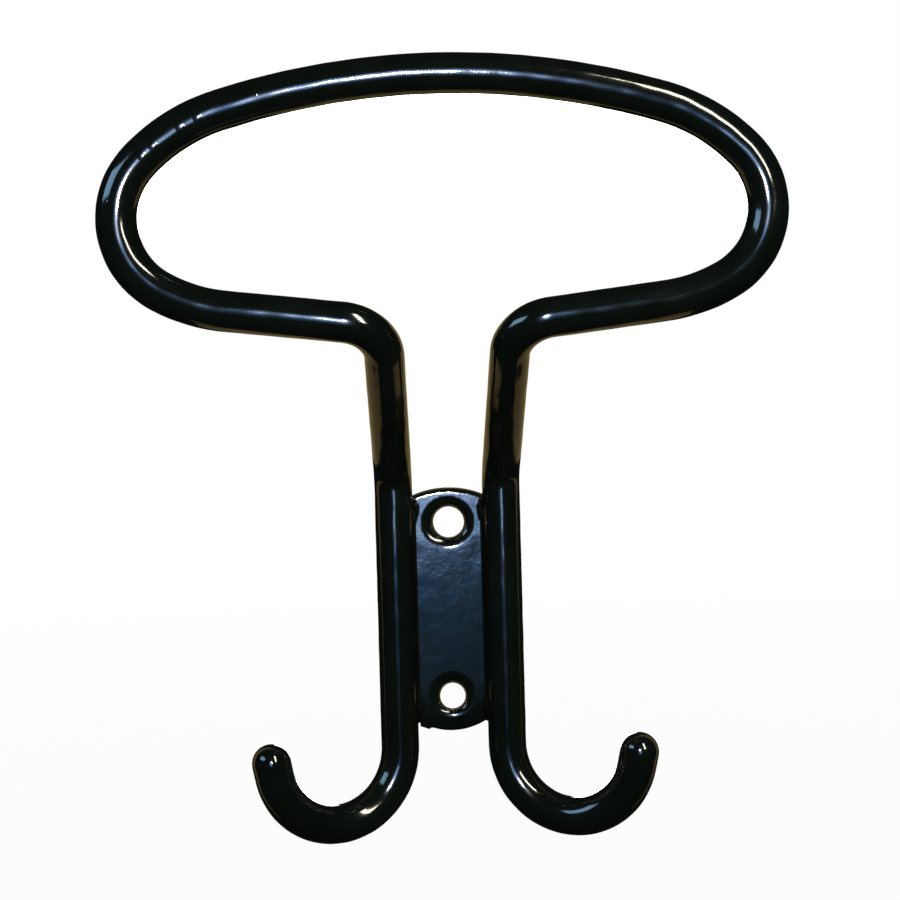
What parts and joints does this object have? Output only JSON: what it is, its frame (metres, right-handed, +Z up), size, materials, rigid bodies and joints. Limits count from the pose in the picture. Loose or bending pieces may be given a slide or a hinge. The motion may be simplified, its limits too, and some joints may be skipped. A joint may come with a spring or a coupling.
{
  "type": "saddle rack",
  "caption": "Wall-mounted saddle rack: a black dip-coated bent rod with a wide forward hoop above and forward-swept hooks below, welded to a countersunk screw plate.",
  "frame": {"origin": "on the wall plane, at the back face of the plate, midway between the two screw holes", "axes": "+Z up the wall, +Y into the wall so the rack stands out towards -Y, +X to the right when facing the wall"},
  "size_m": [0.1852, 0.0515, 0.2185],
  "materials": {
    "steel_bar": "drawn bar under the coat",
    "steel_plate": "hot-rolled plate under the coat",
    "weld_metal": "as welded",
    "black_vinyl": "glossy dip coat"
  },
  "bodies": {
    "root": {"bent_rod": "steel_bar", "mounting_plate": "steel_plate", "weld_upper_left": "weld_metal", "weld_upper_right": "weld_metal", "weld_lower_left": "weld_metal", "weld_lower_right": "weld_metal", "vinyl_coating": "black_vinyl"}
  },
  "joints": []
}
